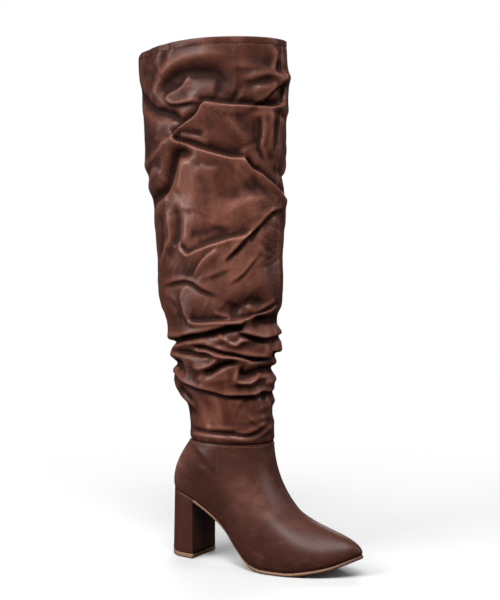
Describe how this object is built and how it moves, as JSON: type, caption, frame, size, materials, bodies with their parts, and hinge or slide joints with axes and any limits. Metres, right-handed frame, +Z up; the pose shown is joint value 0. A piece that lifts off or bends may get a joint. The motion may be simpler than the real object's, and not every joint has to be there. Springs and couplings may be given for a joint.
{
  "type": "tall boot",
  "caption": "Tall over-the-knee slouched boot for the right foot with a pointed toe, smooth foot, gathered hollow shaft and covered block heel.",
  "frame": {"origin": "middle of the boot's bounding box at floor level", "axes": "+X towards the toe, +Y towards the inner side of the leg, +Z up"},
  "size_m": [0.2816, 0.1196, 0.5808],
  "materials": {
    "outsole": "matte tan",
    "heel_block": "satin brown cover drawn over the block",
    "heel_top_piece": "matte tan",
    "insole": "matte lining",
    "upper": "smooth satin dark brown",
    "shaft": "soft creased satin brown, lighter on the ridges",
    "collar_band": "turned and stitched satin brown"
  },
  "bodies": {
    "root": {"outsole": "outsole", "heel_block": "heel_block", "heel_top_piece": "heel_top_piece", "insole": "insole", "upper": "upper", "shaft": "shaft", "collar_band": "collar_band"}
  },
  "joints": []
}
